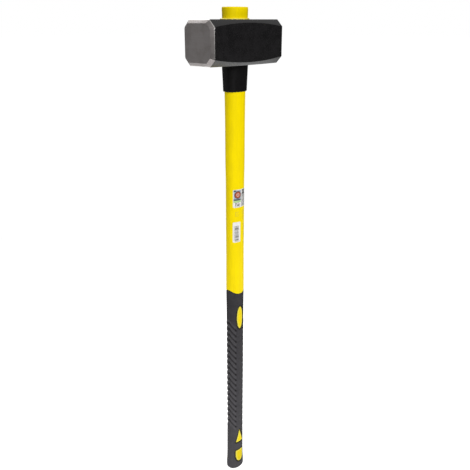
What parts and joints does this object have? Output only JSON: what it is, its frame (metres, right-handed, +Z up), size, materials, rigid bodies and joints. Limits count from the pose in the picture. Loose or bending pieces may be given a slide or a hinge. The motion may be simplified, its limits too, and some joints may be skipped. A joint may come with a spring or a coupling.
{
  "type": "sledgehammer",
  "caption": "Long-handled sledgehammer with a double-faced octagonal steel head on a yellow jacketed fibreglass handle, black collar and black chevron grip.",
  "frame": {"origin": "centre of the butt's underside, where the tool stands on the end of its grip", "axes": "+Z up the handle to the head, +X along the head to one striking face, -Y the broad side that carries the labels"},
  "size_m": [0.168, 0.068, 0.9],
  "materials": {
    "head_steel": "thin black lacquer over forged steel, faces ground and left grey",
    "fibreglass": "cut pultruded rod end",
    "jacket_plastic": "smooth moulded yellow polypropylene",
    "epoxy": "cured clear resin",
    "collar_rubber": "smooth matt black",
    "grip_rubber": "matt charcoal with moulded chevron grooves",
    "label_film": "printed white film"
  },
  "bodies": {
    "root": {"head": "head_steel", "handle_core": "fibreglass", "handle_jacket": "jacket_plastic", "eye_epoxy": "epoxy", "collar": "collar_rubber", "grip": "grip_rubber", "product_label": "label_film", "barcode_label": "label_film"}
  },
  "joints": []
}
